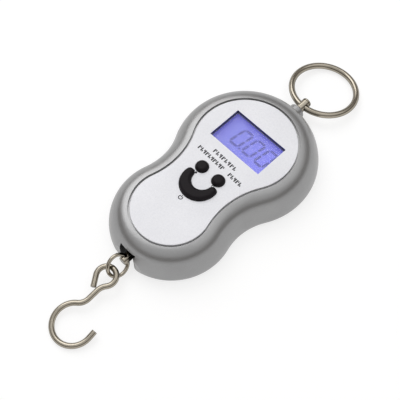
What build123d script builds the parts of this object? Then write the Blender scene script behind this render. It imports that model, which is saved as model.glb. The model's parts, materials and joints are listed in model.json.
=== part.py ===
from build123d import *

import os
from math import acos, atan2, cos, degrees, radians, sin, sqrt

# Digital luggage scale: a two-lobed hand scale with a pull ring at one end and a hook at the other.
# The scale lies on its back. X runs across it, Y along it towards the pull ring, and Z up out of the
# display. The origin is on the back face, at the middle of the housing's length. Sizes are millimetres.

# Housing outline: two round lobes joined by hollow waist arcs, all at the widest height.
BODY_LENGTH = 112.0
UPPER_RADIUS = 35.0
LOWER_RADIUS = 29.3
WAIST_HALF_WIDTH = 26.85

# Housing side profile, from the back face to the faceplate.
BODY_HEIGHT = 18.0
WIDEST_HEIGHT = 4.3
BASE_INSET = 1.6
RIM_WIDTH = 9.6
SHOULDER_RADIUS = 8.0
WALL = 1.8
LIP_HEIGHT = 1.1
LIP_WIDTH = 0.8

# Faceplate and display stack, from the top down.
PLATE_THICKNESS = 1.2
PLATE_GROOVE = 0.9
PLATE_CHAMFER = 0.2
WINDOW_WIDTH = 31.0
WINDOW_HEIGHT = 18.5
WINDOW_CENTRE_Y = 22.4
LENS_THICKNESS = 1.0
LENS_MARGIN = 1.2
GLASS_THICKNESS = 1.7
GLASS_MARGIN = 2.0
GLASS_LEDGE = 1.6
BACKLIGHT_THICKNESS = 1.3
LCD_FRAME_WALL = 1.4
BOARD_THICKNESS = 1.2
BOARD_HALF_WIDTH = 20.0
BOARD_MARGIN_Y = 7.6
BOARD_TAIL_HALF_WIDTH = 9.0
BOARD_TAIL_END_Y = -23.8

BOARD_CORNER_RADIUS = 1.5
LAMP_HALF_LENGTH = 3.0
LAMP_OUTER_EDGE = 0.9

# Small parts under the board: resin cap over the processor, converter chip, crystal and resistors.
RESIN_PLACE = (-11.0, 17.0)
RESIN_RADIUS = 4.0
RESIN_HEIGHT = 1.0
CHIP_X = (9.0, 14.0)
CHIP_Y = (15.0, 19.0)
CHIP_HEIGHT = 1.3
CRYSTAL_X = 15.0
CRYSTAL_Y = (24.0, 31.0)
CRYSTAL_RADIUS = 1.1
RESISTOR_COUNT = 4
RESISTOR_START = (-14.0, 26.0)
RESISTOR_PITCH = 3.0
RESISTOR_LENGTH = 1.6
RESISTOR_WIDTH = 0.8
RESISTOR_HEIGHT = 0.5

# Keys.
ROUND_KEY_RADIUS = 3.1
ROUND_KEY_SPACING = 10.5
ROUND_KEY_Y = -2.2
KEY_RISE = 1.9
KEY_EDGE_ROUND = 1.5
SMILE_OUTER_RADIUS = 9.3
SMILE_OUTER_Y = -9.0
SMILE_INNER_RADIUS = 5.2
SMILE_INNER_Y = -7.2
KEY_TRAVEL = 0.5
KEY_FLANGE_WIDTH = 0.8
KEY_FLANGE_THICKNESS = 0.8
KEY_FLANGE_GAP_Y = -4.95
SWITCH_SIZE = 4.0
SWITCH_BODY_HEIGHT = 1.0
SWITCH_PLUNGER_RADIUS = 1.1

# Load path, on one axis low in the housing.
LOAD_AXIS_HEIGHT = 6.8
POST_RADIUS = 2.4
POST_STUD_RADIUS = 2.0
POST_GROOVE_REACH = 1.4
POST_GROOVE_WIDTH = 0.45
POST_GROOVE_DEPTH = 0.3
POST_REACH = 8.8
POST_HOLE_REACH = 5.1
BOSS_RADIUS = 4.0
BOSS_REACH = 1.9
BOSS_CHAMFER = 0.7
POST_TIP_ROUND = 0.6
NUT_RADIUS = 3.4
NUT_THICKNESS = 1.9
WASHER_THICKNESS = 0.7
YOKE_THICKNESS = 1.2
YOKE_HEIGHT = 5.2
YOKE_CORNER_RADIUS = 1.0
YOKE_ARM_END = 2.6
YOKE_PLATE_OUTER_Y = 51.0
CELL_WIDTH = 10.4
CELL_THICKNESS = 5.2
CELL_LENGTH = 34.0
CELL_TOP_Y = -9.0
CELL_END_WALL = 5.0
CELL_SLOT = 1.0
CELL_UPPER_SLOT = 10.0
CELL_LOWER_SLOT = 11.0
CELL_WINDOW_SPARE = 1.8
CELL_UPPER_BORE = 3.6
CELL_LOWER_BORE = 4.6
CELL_BORE_RADIUS = 1.8
CELL_PIN_RADIUS = 1.25
CELL_PIN_INSETS = (2.5, 6.5)
GAUGE_X = (2.4, 4.8)
GAUGE_HALF_LENGTH = 2.0
GAUGE_THICKNESS = 0.15
LEAD_RADIUS = 0.5
LEAD_BEND_RADIUS = 2.5
LEAD_TURN_Y = 4.0
LEAD_END_Y = 8.0
SHAFT_RADIUS = 2.2
SHAFT_STUD_RADIUS = 1.6
SHAFT_HOLE_REACH = 0.4
SHAFT_TIP_REACH = 3.0
SHAFT_TIP_ROUND = 0.5
SHAFT_NUT_RADIUS = 2.65
SHAFT_NUT_THICKNESS = 1.8

# Slot at the hook end.
SLOT_FLAT_INSET = 1.4
SLOT_WIDTH = 9.4
SLOT_HEIGHT = 13.2
SLOT_DEPTH = 9.0
LINER_WALL = 0.55
LINER_RECESS = 0.2

# Wire parts.
RING_RADIUS = 16.2
RING_WIRE_RADIUS = 1.55
RING_PLAY = 0.35
LINK_RADIUS = 5.3
LINK_WIRE_RADIUS = 0.9
LINK_PLAY = 0.75
LINK_TWIST = 60
HOOK_WIRE_RADIUS = 1.35
EYE_RADIUS = 4.7
EYE_PLAY = 0.7
EYE_EXIT_ANGLE = 40.0
EYE_TAIL_ANGLE = 215.0
EYE_TAIL_LENGTH = 5.8
SHANK_OFFSET = 2.0
BOWL_RADIUS = 9.75
BOWL_OFFSET_X = 5.6
BOWL_DROP = 25.0
SHANK_BEND_RADIUS = 6.0
TIP_ANGLE = 5.0
TIP_LENGTH = 3.6
HOOK_END_ROUND = 0.3

# Batteries, their bays and the door.
CELL_RADIUS = 5.25
BATTERY_LENGTH = 44.5
BATTERY_EDGE_ROUND = 0.6
BATTERY_NUB_RADIUS = 1.9
BATTERY_NUB_LENGTH = 0.9
BAY_WALL = 1.0
BAY_FLANGE = 1.2
BAY_TOP = 9.0
BAY_UPPER_Y = 8.0
SPRING_LENGTH = 3.7
SPRING_WIRE_RADIUS = 0.3
SPRING_RADIUS = 3.6
SPRING_TAPER = 22
SPRING_TURNS = 4
CONTACT_THICKNESS = 0.4
DOOR_THICKNESS = 1.6
DOOR_MARGIN = 0.9
DOOR_CORNER_RADIUS = 2.5
DOOR_TAB_HALF_WIDTH = 4.3
DOOR_TAB_LENGTH = 3.0
DOOR_TAB_THICKNESS = 0.8
DOOR_GRIP_RIBS = 4
RIB_START = 2.4
RIB_PITCH = 1.3
RIB_WIDTH = 0.5
RIB_DEPTH = 0.35
RIB_HALF_LENGTH = 6.0
FINGER_CUT_RADIUS = 3.0
FINGER_CUT_DEPTH = 0.6

# Screws.
CASE_SCREW_UPPER = (25.5, 24.0)
CASE_SCREW_LOWER = (11.5, -45.6)
CASE_BOSS_RADIUS = 2.8
CASE_SCREW_RADIUS = 0.9
CASE_HEAD_RADIUS = 2.0
CASE_HEAD_HEIGHT = 1.2
CASE_SEAT_HEIGHT = 2.2
CROSS_LENGTH = 2.4
CROSS_WIDTH = 0.5
CROSS_DEPTH = 0.5
BOARD_SCREW_PLACES = ((-12.0, 38.0), (12.0, 38.0), (0.0, -21.4))
BOARD_SCREW_RADIUS = 0.8
BOARD_HEAD_RADIUS = 1.6
BOARD_HEAD_HEIGHT = 0.9

# Clearances.
GAP = 0.1
KEY_GAP = 0.25
DOOR_GAP = 0.2
SCREW_GAP = 0.02
RUNNING_GAP = 0.08
MARGIN = 5.0

# Values that follow from the sizes above.
UPPER_Y = BODY_LENGTH / 2 - UPPER_RADIUS
LOWER_Y = LOWER_RADIUS - BODY_LENGTH / 2
FLANK_RISE = BODY_HEIGHT - WIDEST_HEIGHT
FLANK_RADIUS = (RIM_WIDTH**2 + FLANK_RISE**2 - 2 * FLANK_RISE * SHOULDER_RADIUS) / (
    2 * (RIM_WIDTH - SHOULDER_RADIUS)
)
BASE_RADIUS = (BASE_INSET**2 + WIDEST_HEIGHT**2) / (2 * BASE_INSET)
PLATE_BOTTOM = BODY_HEIGHT - PLATE_THICKNESS
CEILING = PLATE_BOTTOM - WALL
LENS_BOTTOM = PLATE_BOTTOM - LENS_THICKNESS
GLASS_BOTTOM = CEILING - GAP / 2 - GLASS_THICKNESS
BOARD_TOP = GLASS_BOTTOM - GAP / 2 - BACKLIGHT_THICKNESS
BOARD_BOTTOM = BOARD_TOP - BOARD_THICKNESS
WINDOW_BOTTOM_Y = WINDOW_CENTRE_Y - WINDOW_HEIGHT / 2
WINDOW_TOP_Y = WINDOW_CENTRE_Y + WINDOW_HEIGHT / 2
BOARD_TOP_Y = WINDOW_TOP_Y + BOARD_MARGIN_Y + GLASS_MARGIN
BOARD_STEP_Y = WINDOW_BOTTOM_Y - GLASS_LEDGE - GLASS_MARGIN - LCD_FRAME_WALL
RING_END_Y = BODY_LENGTH / 2
HOOK_END_Y = SLOT_FLAT_INSET - BODY_LENGTH / 2
CELL_BOTTOM = LOAD_AXIS_HEIGHT - CELL_THICKNESS / 2
RING_HOLE_RADIUS = RING_WIRE_RADIUS + RING_PLAY
LINK_HOLE_RADIUS = LINK_WIRE_RADIUS + LINK_PLAY
YOKE_INNER = CELL_WIDTH / 2 + GAP
YOKE_OUTER = YOKE_INNER + YOKE_THICKNESS
CHANNEL_HALF_WIDTH = YOKE_OUTER + 0.5
BAY_INNER_X = CHANNEL_HALF_WIDTH + BAY_WALL
BATTERY_X = BAY_INNER_X + 2 * GAP + CELL_RADIUS
BAY_OUTER_X = BATTERY_X + CELL_RADIUS + 2 * GAP
BAY_LENGTH = BATTERY_LENGTH + SPRING_LENGTH + 2 * CONTACT_THICKNESS + 3 * GAP
BAY_LOWER_Y = BAY_UPPER_Y - BAY_LENGTH
DOOR_RECESS = DOOR_THICKNESS + GAP
BATTERY_HEIGHT = DOOR_THICKNESS + 3 * GAP + CELL_RADIUS
CHANNEL_FLOOR_TOP = CELL_BOTTOM - 2 * GAP
POST_TIP_Y = RING_END_Y + POST_REACH
POST_HOLE_Y = RING_END_Y + POST_HOLE_REACH
BOSS_END_Y = RING_END_Y + BOSS_REACH
SHAFT_HOLE_Y = HOOK_END_Y - SHAFT_HOLE_REACH
SHAFT_TIP_Y = HOOK_END_Y - SHAFT_TIP_REACH
KEY_PLACES = ((-ROUND_KEY_SPACING / 2, ROUND_KEY_Y), (ROUND_KEY_SPACING / 2, ROUND_KEY_Y))
SLOT_BACK_Y = HOOK_END_Y + SLOT_DEPTH
YOKE_PLATE_INNER_Y = YOKE_PLATE_OUTER_Y - YOKE_THICKNESS
CELL_LOWER_Y = CELL_TOP_Y - CELL_LENGTH
CELL_PIN_PLACES = tuple(CELL_TOP_Y - inset for inset in CELL_PIN_INSETS)
UPPER_BORE_Y = CELL_TOP_Y - CELL_UPPER_SLOT - CELL_UPPER_BORE
LOWER_BORE_Y = CELL_LOWER_Y + CELL_LOWER_SLOT + CELL_LOWER_BORE
LINK_FAR_Y = SHAFT_HOLE_Y - 2 * LINK_RADIUS
EYE_NEAR_Y = LINK_FAR_Y + LINK_WIRE_RADIUS + HOOK_WIRE_RADIUS + EYE_PLAY
RING_DROOP = degrees(atan2(LOAD_AXIS_HEIGHT - RING_WIRE_RADIUS, 2 * RING_RADIUS)) - 0.2


def arc_height(radius, offset):
    """Height of a circle over its centre at a sideways offset."""
    return sqrt(radius**2 - offset**2)


def neck_geometry():
    """Centre (x, y) and radius of the waist arc that touches both lobes and leaves the stated waist."""
    upper_gap = UPPER_RADIUS - WAIST_HALF_WIDTH
    lower_gap = LOWER_RADIUS - WAIST_HALF_WIDTH
    a = lower_gap - upper_gap
    b = 2 * (upper_gap * LOWER_Y - lower_gap * UPPER_Y)
    c = lower_gap * (UPPER_Y**2 + WAIST_HALF_WIDTH**2 - UPPER_RADIUS**2) - upper_gap * (
        LOWER_Y**2 + WAIST_HALF_WIDTH**2 - LOWER_RADIUS**2
    )
    root = sqrt(b**2 - 4 * a * c)
    centre_y = next(
        y for y in ((-b - root) / (2 * a), (-b + root) / (2 * a)) if LOWER_Y < y < UPPER_Y
    )
    radius = ((centre_y - UPPER_Y) ** 2 + WAIST_HALF_WIDTH**2 - UPPER_RADIUS**2) / (2 * upper_gap)
    return WAIST_HALF_WIDTH + radius, centre_y, radius


NECK_X, NECK_Y, NECK_RADIUS = neck_geometry()
UPPER_END_ANGLE = degrees(atan2(NECK_Y - UPPER_Y, NECK_X))
LOWER_END_ANGLE = degrees(atan2(NECK_Y - LOWER_Y, NECK_X))


def polar(centre, radius, angle):
    """Point at an angle in degrees on a circle."""
    return (centre[0] + radius * cos(radians(angle)), centre[1] + radius * sin(radians(angle)))


def outline(inset):
    """Flat two-lobed face whose edge lies inset inside the widest outline."""
    upper = (0, UPPER_Y)
    lower = (0, LOWER_Y)
    arcs = [
        CenterArc(upper, UPPER_RADIUS - inset, UPPER_END_ANGLE, 180 - 2 * UPPER_END_ANGLE),
        CenterArc(lower, LOWER_RADIUS - inset, 180 - LOWER_END_ANGLE, 180 + 2 * LOWER_END_ANGLE),
    ]
    for side in (-1, 1):
        neck = (side * NECK_X, NECK_Y)
        start = -UPPER_END_ANGLE if side < 0 else 180 + UPPER_END_ANGLE
        sweep_angle = UPPER_END_ANGLE - LOWER_END_ANGLE if side < 0 else LOWER_END_ANGLE - UPPER_END_ANGLE
        arcs.append(CenterArc(neck, NECK_RADIUS + inset, start, sweep_angle))
    return make_face(Wire(arcs))


def slab(face, low, high):
    """Flat XY face raised from one height to another."""
    return extrude(Pos(0, 0, low) * face, high - low)


def rim_section(offset, low, radius, outward):
    """Section of the rounded rim, offset into the wall, with its radius measured from an arc's axis.

    outward is 1 where the rim bulges away from the axis, as on a lobe, and -1 at the waist.
    """
    base_low = WIDEST_HEIGHT - low
    base_inset = BASE_RADIUS - arc_height(BASE_RADIUS - offset, base_low)
    flank_angle = degrees(atan2(FLANK_RISE - SHOULDER_RADIUS, FLANK_RADIUS - RIM_WIDTH))
    base_angle = degrees(atan2(base_low, BASE_RADIUS - base_inset))
    top = BODY_HEIGHT - offset
    # Drawn with the inset running along -X from the widest edge at X = 0, then mirrored if needed.
    base = CenterArc((-BASE_RADIUS, WIDEST_HEIGHT), BASE_RADIUS - offset, -base_angle, base_angle)
    flank = CenterArc((-FLANK_RADIUS, WIDEST_HEIGHT), FLANK_RADIUS - offset, 0, flank_angle)
    shoulder = CenterArc(
        (-RIM_WIDTH, BODY_HEIGHT - SHOULDER_RADIUS), SHOULDER_RADIUS - offset, flank_angle, 90 - flank_angle
    )
    inner = Polyline((-RIM_WIDTH, top), (-RIM_WIDTH, low), (-base_inset, low))
    face = make_face(Wire([base, flank, shoulder] + list(inner.edges())))
    if outward < 0:
        face = mirror(face, Plane.YZ)
    return Plane.XZ * (Pos(radius, 0, 0) * face)


def lobed_solid(offset, low):
    """Whole housing body, offset into its wall, standing on a height."""
    body = slab(outline(RIM_WIDTH), low, BODY_HEIGHT - offset)
    lobes = (
        (UPPER_Y, UPPER_RADIUS, UPPER_END_ANGLE, 180 - 2 * UPPER_END_ANGLE),
        (LOWER_Y, LOWER_RADIUS, 180 - LOWER_END_ANGLE, 180 + 2 * LOWER_END_ANGLE),
    )
    for centre_y, radius, start, span in lobes:
        section = rim_section(offset, low, radius, 1)
        body += Pos(0, centre_y, 0) * Rot(0, 0, start) * revolve(section, Axis.Z, span)
    neck_span = LOWER_END_ANGLE - UPPER_END_ANGLE
    for side in (-1, 1):
        section = rim_section(offset, low, NECK_RADIUS, -1)
        start = -LOWER_END_ANGLE if side < 0 else 180 + UPPER_END_ANGLE
        body += Pos(side * NECK_X, NECK_Y, 0) * Rot(0, 0, start) * revolve(section, Axis.Z, neck_span)
    return body


def block(x, y, z):
    """Box between two X, two Y and two Z values."""
    size = (x[1] - x[0], y[1] - y[0], z[1] - z[0])
    return Pos((x[0] + x[1]) / 2, (y[0] + y[1]) / 2, (z[0] + z[1]) / 2) * Box(*size)


def wide_block(half_width, y, z):
    """Box centred on X = 0."""
    return block((-half_width, half_width), y, z)


def rod_y(radius, y, x=0.0, z=LOAD_AXIS_HEIGHT):
    """Round bar along Y."""
    return Pos(x, (y[0] + y[1]) / 2, z) * Rot(90, 0, 0) * Cylinder(radius, y[1] - y[0])


def rod_z(radius, place, z):
    """Round bar along Z."""
    return Pos(place[0], place[1], (z[0] + z[1]) / 2) * Cylinder(radius, z[1] - z[0])


def rod_x(radius, x, y, z):
    """Round bar along X."""
    return Pos((x[0] + x[1]) / 2, y, z) * Rot(0, 90, 0) * Cylinder(radius, x[1] - x[0])


def mirrored(places):
    """Places on both sides of the middle plane."""
    return [(side * x, y) for x, y in places for side in (-1, 1)]


def smile_face(growth=0.0):
    """Crescent outline, grown all round: two arcs joined by round tips that touch both."""
    outer = (0, SMILE_OUTER_Y)
    inner = (0, SMILE_INNER_Y)
    tip_y = (SMILE_OUTER_Y + SMILE_INNER_Y) / 2
    tip_x = arc_height((SMILE_OUTER_RADIUS + SMILE_INNER_RADIUS) / 2, tip_y - SMILE_OUTER_Y)
    tip_radius = (SMILE_OUTER_RADIUS - SMILE_INNER_RADIUS) / 2 + growth
    outer_angle = degrees(atan2(tip_y - SMILE_OUTER_Y, tip_x))
    inner_angle = degrees(atan2(tip_y - SMILE_INNER_Y, tip_x))
    tip_turn = 180 + inner_angle - outer_angle
    arcs = [
        CenterArc(outer, SMILE_OUTER_RADIUS + growth, 180 - outer_angle, 180 + 2 * outer_angle),
        CenterArc((tip_x, tip_y), tip_radius, outer_angle, tip_turn),
        CenterArc(inner, SMILE_INNER_RADIUS - growth, inner_angle, -180 - 2 * inner_angle),
        CenterArc((-tip_x, tip_y), tip_radius, -inner_angle, tip_turn),
    ]
    return make_face(Wire(arcs))


def round_key_face(place, growth=0.0):
    """Round key outline, grown all round."""
    return Pos(*place) * Circle(ROUND_KEY_RADIUS + growth)


def key_faces(growth=0.0):
    """Outlines of all three keys."""
    return [round_key_face(place, growth) for place in KEY_PLACES] + [smile_face(growth)]


def window_face(growth=0.0):
    """Display window outline, grown all round."""
    return Pos(0, WINDOW_CENTRE_Y) * Rectangle(WINDOW_WIDTH + 2 * growth, WINDOW_HEIGHT + 2 * growth)


BODY = lobed_solid(0, 0)
CAVITY = lobed_solid(WALL, WALL)
CAVITY -= slab(outline(0), CEILING, BODY_HEIGHT + MARGIN)
SLOT_CUT = wide_block(SLOT_WIDTH / 2, (-BODY_LENGTH, SLOT_BACK_Y), (-MARGIN, SLOT_HEIGHT))
CASE_SCREW_PLACES = mirrored((CASE_SCREW_UPPER, CASE_SCREW_LOWER))


def housing_wall():
    """Hollow housing in one piece, with the post boss, the flat at the hook end and the hook slot."""
    boss = rod_y(BOSS_RADIUS, (YOKE_PLATE_OUTER_Y + 2 * GAP, BOSS_END_Y))
    boss = chamfer(boss.faces().sort_by(Axis.Y)[-1].edges(), BOSS_CHAMFER)
    wall = BODY - CAVITY + boss
    wall -= rod_y(POST_RADIUS + RUNNING_GAP, (0, RING_END_Y + MARGIN))
    wall -= wide_block(UPPER_RADIUS, (-BODY_LENGTH, HOOK_END_Y), (-MARGIN, BODY_HEIGHT + MARGIN))
    return wall - SLOT_CUT


def front_shell(wall):
    """Upper half: faceplate pocket, lens rebate, key holes, screw bosses and the lip's rebate."""
    shell = wall - slab(outline(-MARGIN), -MARGIN, WIDEST_HEIGHT)
    for place in CASE_SCREW_PLACES:
        boss = rod_z(CASE_BOSS_RADIUS, place, (WIDEST_HEIGHT + 2 * GAP, CEILING + GAP))
        shell += boss & slab(outline(WALL), 0, BODY_HEIGHT) & BODY
        shell -= rod_z(CASE_SCREW_RADIUS + SCREW_GAP, place, (0, BOARD_TOP))
    for place in BOARD_SCREW_PLACES:
        shell += rod_z(2 * BOARD_SCREW_RADIUS, place, (BOARD_TOP, CEILING + GAP))
        shell -= rod_z(BOARD_SCREW_RADIUS + SCREW_GAP, place, (0, CEILING - GAP))
    lip_rebate = outline(WALL - LIP_WIDTH - GAP) - outline(WALL + 2 * GAP)
    shell -= slab(lip_rebate, 0, WIDEST_HEIGHT + LIP_HEIGHT + GAP)
    shell -= slab(outline(RIM_WIDTH), PLATE_BOTTOM, BODY_HEIGHT + MARGIN)
    shell -= slab(window_face(LENS_MARGIN), LENS_BOTTOM, BODY_HEIGHT)
    shell -= slab(window_face(), 0, BODY_HEIGHT)
    for face in key_faces(KEY_GAP):
        shell -= slab(face, 0, BODY_HEIGHT)
    return shell


def bay_x(side):
    """X range of one battery bay."""
    return tuple(sorted((side * BAY_INNER_X, side * BAY_OUTER_X)))


def door_face(growth=0.0):
    """Battery door outline, grown all round."""
    half_width = BAY_OUTER_X + DOOR_MARGIN + growth
    low = BAY_LOWER_Y - DOOR_MARGIN - growth
    high = BAY_UPPER_Y + DOOR_MARGIN + growth
    face = Pos(0, (low + high) / 2) * RectangleRounded(2 * half_width, high - low, DOOR_CORNER_RADIUS)
    return face


def back_shell(wall):
    """Lower half: battery bays around the load cell's channel, door recess, screw seats and the lip."""
    shell = wall & slab(outline(-MARGIN), -MARGIN, WIDEST_HEIGHT)
    lip_cut = SLOT_CUT + rod_y(POST_RADIUS + RUNNING_GAP, (0, RING_END_Y))
    lip_cut += wide_block(UPPER_RADIUS, (-BODY_LENGTH, HOOK_END_Y), (-MARGIN, BODY_HEIGHT))
    lip_cut += wide_block(BOSS_RADIUS + GAP, (0, RING_END_Y), (0, BODY_HEIGHT))
    lip = slab(outline(WALL - LIP_WIDTH) - outline(WALL), WIDEST_HEIGHT - GAP, WIDEST_HEIGHT + LIP_HEIGHT)
    shell += lip - lip_cut
    bay_edge = BAY_OUTER_X + BAY_WALL
    bays = wide_block(bay_edge, (BAY_LOWER_Y - BAY_WALL, BAY_UPPER_Y + BAY_WALL), (DOOR_RECESS, BAY_TOP))
    flange_y = (BAY_LOWER_Y - 2 * BAY_WALL, BAY_UPPER_Y + 3 * BAY_WALL)
    bays += wide_block(bay_edge + 2 * BAY_WALL, flange_y, (DOOR_RECESS, DOOR_RECESS + BAY_FLANGE))
    shell += bays & lobed_solid(WALL - GAP, DOOR_RECESS - GAP) & slab(outline(WALL), 0, BAY_TOP)
    shell -= slab(door_face(DOOR_GAP), -MARGIN, DOOR_RECESS)
    for side in (-1, 1):
        shell -= block(bay_x(side), (BAY_LOWER_Y, BAY_UPPER_Y), (-MARGIN, BODY_HEIGHT))
    channel_y = (BAY_LOWER_Y - MARGIN, BAY_UPPER_Y + MARGIN)
    shell -= wide_block(CHANNEL_HALF_WIDTH, channel_y, (CHANNEL_FLOOR_TOP, BODY_HEIGHT))
    tab_y = (BAY_UPPER_Y + DOOR_MARGIN - DOOR_TAB_LENGTH - 1.8, BAY_UPPER_Y + 4 * BAY_WALL)
    shell -= wide_block(DOOR_TAB_HALF_WIDTH + 2 * GAP, tab_y, (DOOR_RECESS, BAY_TOP))
    for place in CASE_SCREW_PLACES:
        column = rod_z(CASE_BOSS_RADIUS, place, (GAP, WIDEST_HEIGHT + GAP))
        shell += column & slab(outline(WALL + 4 * GAP), 0, BAY_TOP)
        shell -= rod_z(CASE_HEAD_RADIUS + 3 * GAP, place, (-MARGIN, CASE_SEAT_HEIGHT))
        shell -= rod_z(CASE_SCREW_RADIUS + 2 * GAP, place, (0, BAY_TOP))
    return shell


def slot_liner():
    """Black liner of the hook slot: two sides, a roof, and a back wall that the hook shaft passes."""
    half_width = SLOT_WIDTH / 2 - GAP / 2
    top = SLOT_HEIGHT - GAP / 2
    back = SLOT_BACK_Y - GAP / 2
    liner = wide_block(half_width, (-BODY_LENGTH, back), (LINER_RECESS, top))
    inner_y = (-BODY_LENGTH - MARGIN, back - 1.5 * LINER_WALL)
    liner -= wide_block(half_width - LINER_WALL, inner_y, (-MARGIN, top - LINER_WALL))
    liner &= lobed_solid(LINER_RECESS, LINER_RECESS)
    liner -= wide_block(UPPER_RADIUS, (-BODY_LENGTH, HOOK_END_Y + LINER_RECESS), (-MARGIN, BODY_HEIGHT))
    flange = wide_block(half_width + BAY_WALL, (back, back + BAY_WALL), (WALL + GAP, top - LINER_WALL))
    liner += flange
    return liner - rod_y(SHAFT_RADIUS + 2 * GAP, (-BODY_LENGTH, 0))


def faceplate():
    """Front plate with a softened edge, a window and the key openings."""
    plate = slab(outline(RIM_WIDTH + PLATE_GROOVE), PLATE_BOTTOM, BODY_HEIGHT)
    plate = chamfer(plate.faces().sort_by(Axis.Z)[-1].edges(), PLATE_CHAMFER)
    plate -= slab(window_face(), 0, BODY_HEIGHT + MARGIN)
    for face in key_faces(KEY_GAP):
        plate -= slab(face, 0, BODY_HEIGHT + MARGIN)
    return plate


def display_lens():
    """Clear window that sits in its rebate under the faceplate."""
    return slab(window_face(LENS_MARGIN - GAP), LENS_BOTTOM, PLATE_BOTTOM)


def lcd_glass():
    """Liquid-crystal glass: the upper sheet, and a lower sheet with the contact ledge."""
    width = WINDOW_WIDTH / 2 + GLASS_MARGIN
    middle = GLASS_BOTTOM + GLASS_THICKNESS / 2
    lower_y = (WINDOW_BOTTOM_Y - GLASS_LEDGE - GLASS_MARGIN / 2, WINDOW_TOP_Y + GLASS_MARGIN)
    upper_y = (WINDOW_BOTTOM_Y - GLASS_MARGIN / 2, WINDOW_TOP_Y + GLASS_MARGIN)
    return wide_block(width, lower_y, (GLASS_BOTTOM, middle)) + wide_block(
        width, upper_y, (middle, GLASS_BOTTOM + GLASS_THICKNESS)
    )


def backlight():
    """Light guide behind the glass."""
    upper_y = (WINDOW_BOTTOM_Y - GLASS_MARGIN / 2, WINDOW_TOP_Y + GLASS_MARGIN)
    return wide_block(WINDOW_WIDTH / 2 + GLASS_MARGIN / 2, upper_y, (BOARD_TOP, GLASS_BOTTOM - GAP / 2))


def zebra_strip():
    """Rubber contact strip between the glass ledge and the board."""
    lower = WINDOW_BOTTOM_Y - GLASS_LEDGE - GLASS_MARGIN / 2
    y = (lower + GAP, WINDOW_BOTTOM_Y - GLASS_MARGIN / 2 - 2 * GAP)
    return wide_block(WINDOW_WIDTH / 2, y, (BOARD_TOP, GLASS_BOTTOM))


def lcd_frame():
    """Frame around the glass and the light guide."""
    width = WINDOW_WIDTH / 2 + GLASS_MARGIN + GAP
    y = (WINDOW_BOTTOM_Y - GLASS_LEDGE - GLASS_MARGIN / 2 - GAP, WINDOW_TOP_Y + GLASS_MARGIN + GAP)
    z = (BOARD_TOP, CEILING - GAP)
    outer_y = (y[0] - LCD_FRAME_WALL, y[1] + LCD_FRAME_WALL)
    return wide_block(width + LCD_FRAME_WALL, outer_y, z) - wide_block(width, y, (0, BODY_HEIGHT))


def main_board():
    """Circuit board: a wide part behind the display, and a tail under the keys."""
    z = (BOARD_BOTTOM, BOARD_TOP)
    board = wide_block(BOARD_HALF_WIDTH, (BOARD_STEP_Y, BOARD_TOP_Y), z)
    board = fillet(board.edges().filter_by(Axis.Z), BOARD_CORNER_RADIUS)
    board += wide_block(BOARD_TAIL_HALF_WIDTH, (BOARD_TAIL_END_Y, BOARD_STEP_Y + 2), z)
    for place in BOARD_SCREW_PLACES:
        board -= rod_z(BOARD_SCREW_RADIUS + GAP, place, z)
    return board


def board_chips():
    """Processor under its resin cap, converter chip, crystal and passive parts, under the board."""
    chips = [
        rod_z(RESIN_RADIUS, RESIN_PLACE, (BOARD_BOTTOM - RESIN_HEIGHT, BOARD_BOTTOM)),
        block(CHIP_X, CHIP_Y, (BOARD_BOTTOM - CHIP_HEIGHT, BOARD_BOTTOM)),
        rod_y(CRYSTAL_RADIUS, CRYSTAL_Y, CRYSTAL_X, BOARD_BOTTOM - CRYSTAL_RADIUS),
    ]
    y = (RESISTOR_START[1], RESISTOR_START[1] + RESISTOR_WIDTH)
    for index in range(RESISTOR_COUNT):
        x = RESISTOR_START[0] + RESISTOR_PITCH * index
        chips.append(block((x, x + RESISTOR_LENGTH), y, (BOARD_BOTTOM - RESISTOR_HEIGHT, BOARD_BOTTOM)))
    return Compound(children=chips)


def backlight_lamp():
    """Side lamp that feeds the light guide."""
    guide_edge = WINDOW_WIDTH / 2 + GLASS_MARGIN / 2
    y = (WINDOW_CENTRE_Y - LAMP_HALF_LENGTH, WINDOW_CENTRE_Y + LAMP_HALF_LENGTH)
    return block((guide_edge + GAP, guide_edge + LAMP_OUTER_EDGE), y, (BOARD_TOP, GLASS_BOTTOM - GAP))


def key_switches():
    """Three push switches on the board's tail."""
    switches = []
    for x, y in (*KEY_PLACES, (0, SMILE_OUTER_Y - SMILE_OUTER_RADIUS + SWITCH_SIZE)):
        half = SWITCH_SIZE / 2
        top = BOARD_TOP + SWITCH_BODY_HEIGHT
        body = block((x - half, x + half), (y - half, y + half), (BOARD_TOP, top))
        plunger_top = CEILING - GAP - KEY_FLANGE_THICKNESS - KEY_TRAVEL - GAP
        switches.append(body + rod_z(SWITCH_PLUNGER_RADIUS, (x, y), (top, plunger_top)))
    return Compound(children=switches)


def key(face, flange):
    """Push key: a crowned cap, and a flange under the ceiling that keeps it in."""
    cap = slab(face, CEILING - GAP, BODY_HEIGHT + KEY_RISE)
    cap = fillet(cap.faces().sort_by(Axis.Z)[-1].edges(), KEY_EDGE_ROUND)
    return cap + slab(flange, CEILING - GAP - KEY_FLANGE_THICKNESS, CEILING - GAP)


def round_key(place):
    """Round key whose flange is cut off flat next to the crescent key."""
    reach = 2 * ROUND_KEY_RADIUS + 2 * MARGIN
    keep = Pos(place[0], KEY_FLANGE_GAP_Y + GAP + reach / 2) * Rectangle(reach, reach)
    return key(round_key_face(place), round_key_face(place, KEY_FLANGE_WIDTH) & keep)


def smile_key():
    """Crescent key whose flange is cut off flat next to the round keys."""
    reach = 4 * SMILE_OUTER_RADIUS
    keep = Pos(0, KEY_FLANGE_GAP_Y - GAP - reach / 2) * Rectangle(reach, reach)
    return key(smile_face(), smile_face(KEY_FLANGE_WIDTH) & keep)


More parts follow.
